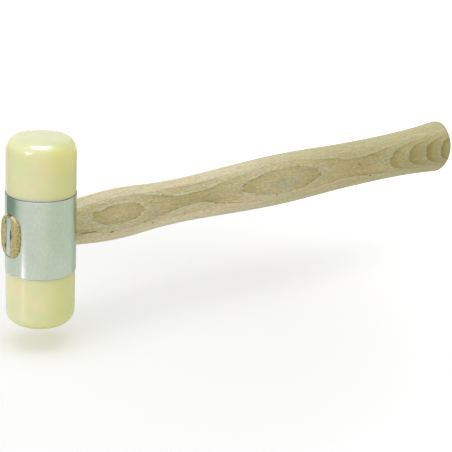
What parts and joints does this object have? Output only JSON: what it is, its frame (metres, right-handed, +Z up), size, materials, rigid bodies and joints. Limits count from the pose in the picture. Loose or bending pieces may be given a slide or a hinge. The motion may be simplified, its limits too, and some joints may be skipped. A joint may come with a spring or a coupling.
{
  "type": "nylon mallet",
  "caption": "Mallet with a steel tube head, crowned nylon striking faces that come off, and an oval ash handle wedged through the head.",
  "frame": {"origin": "where the head's axis and the handle's axis cross, in the middle of the sleeve", "axes": "+Z up the head's axis, +X along the handle from the head to the butt"},
  "size_m": [0.2844, 0.032, 0.09],
  "materials": {
    "sleeve_steel": "satin, finely brushed along the tube",
    "nylon": "smooth, slightly translucent ivory",
    "ash": "sanded bare ash with cathedral grain",
    "wedge_steel": "bright, struck end"
  },
  "bodies": {
    "hammer": {"head_sleeve": "sleeve_steel", "handle": "ash", "wedge": "wedge_steel"},
    "upper_face": {"upper_face": "nylon"},
    "lower_face": {"lower_face": "nylon"}
  },
  "joints": [
    {"name": "upper_face_seat", "type": "slide", "parent": "hammer", "child": "upper_face", "axis": [0, 0, 1], "range_m": [0, 0.01]},
    {"name": "lower_face_seat", "type": "slide", "parent": "hammer", "child": "lower_face", "axis": [0, 0, -1], "range_m": [0, 0.01]}
  ]
}
